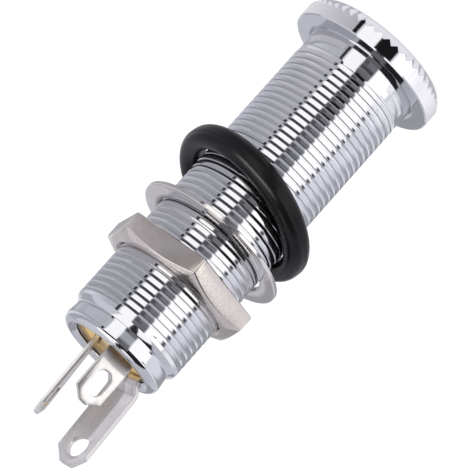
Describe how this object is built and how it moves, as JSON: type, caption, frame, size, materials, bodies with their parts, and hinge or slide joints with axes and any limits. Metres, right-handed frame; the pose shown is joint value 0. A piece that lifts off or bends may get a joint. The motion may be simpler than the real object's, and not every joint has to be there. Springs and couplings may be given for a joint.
{
  "type": "guitar output jack",
  "caption": "Long threaded barrel jack for a stereo plug, with a notched round head, rolled tail lip, solder lugs, hex nut, flat washer and rubber ring.",
  "frame": {"origin": "centre of the head's front face, where the plug goes in", "axes": "+Z along the barrel from the head to the solder lugs, -Y towards the side that the picture shows"},
  "size_m": [0.0168, 0.017, 0.0496],
  "materials": {
    "chrome": "polished chrome plate on brass",
    "nickel": "satin nickel plate",
    "contact": "bright tin plate",
    "wafer": "amber resin-bonded board",
    "liner": "brown fibre",
    "rubber": "satin black rubber"
  },
  "bodies": {
    "jack": {"barrel": "chrome", "liner_tube": "liner", "front_wafer": "wafer", "ring_contact": "contact", "middle_wafer": "wafer", "tip_contact": "contact", "rear_wafer": "wafer", "sleeve_lug": "contact", "flat_washer": "nickel", "o_ring": "rubber"},
    "nut": {"hex_nut": "nickel"}
  },
  "joints": [
    {"name": "nut_travel", "type": "slide", "parent": "jack", "child": "nut", "axis": [0, 0, 1], "range_m": [-0.0027, 0.0056]}
  ]
}
